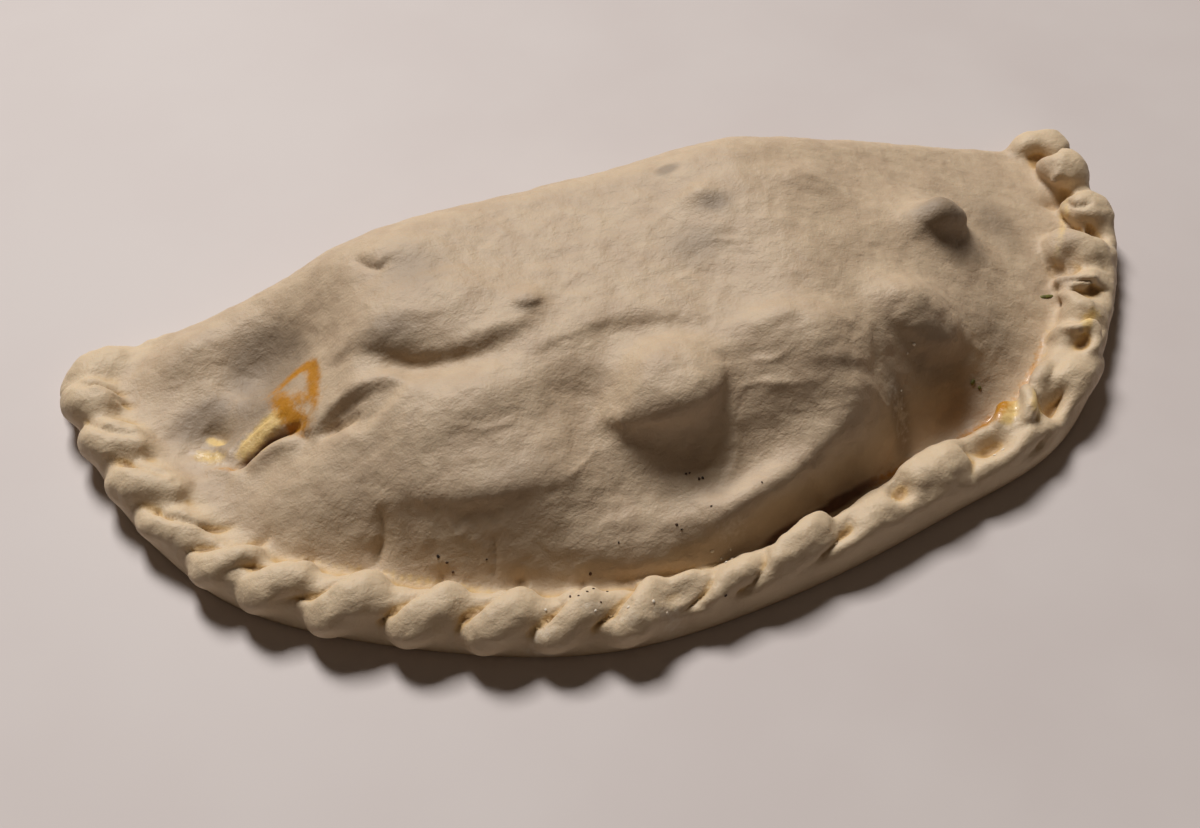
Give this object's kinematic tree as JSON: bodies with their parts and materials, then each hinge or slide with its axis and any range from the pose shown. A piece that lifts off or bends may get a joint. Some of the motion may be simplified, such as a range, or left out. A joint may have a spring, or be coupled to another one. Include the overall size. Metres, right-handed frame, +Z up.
{
  "type": "calzone",
  "caption": "Unbaked half-moon calzone: pizza dough folded over a lumpy filling, its curved rim rolled and crimped, resting on a flat underside.",
  "frame": {"origin": "centre of the outline in plan, on the flat underside", "axes": "+X along the straight fold towards the right tip, +Y towards the straight fold at the back, +Z up; the crimped rim runs round the -Y side"},
  "size_m": [0.3019, 0.1406, 0.0433],
  "materials": {
    "dough": "raw pizza dough: pale cream, soft satin, greyer where it is thin, with orange oil and a little flour in the creases"
  },
  "bodies": {
    "root": {"calzone": "dough"}
  },
  "joints": []
}
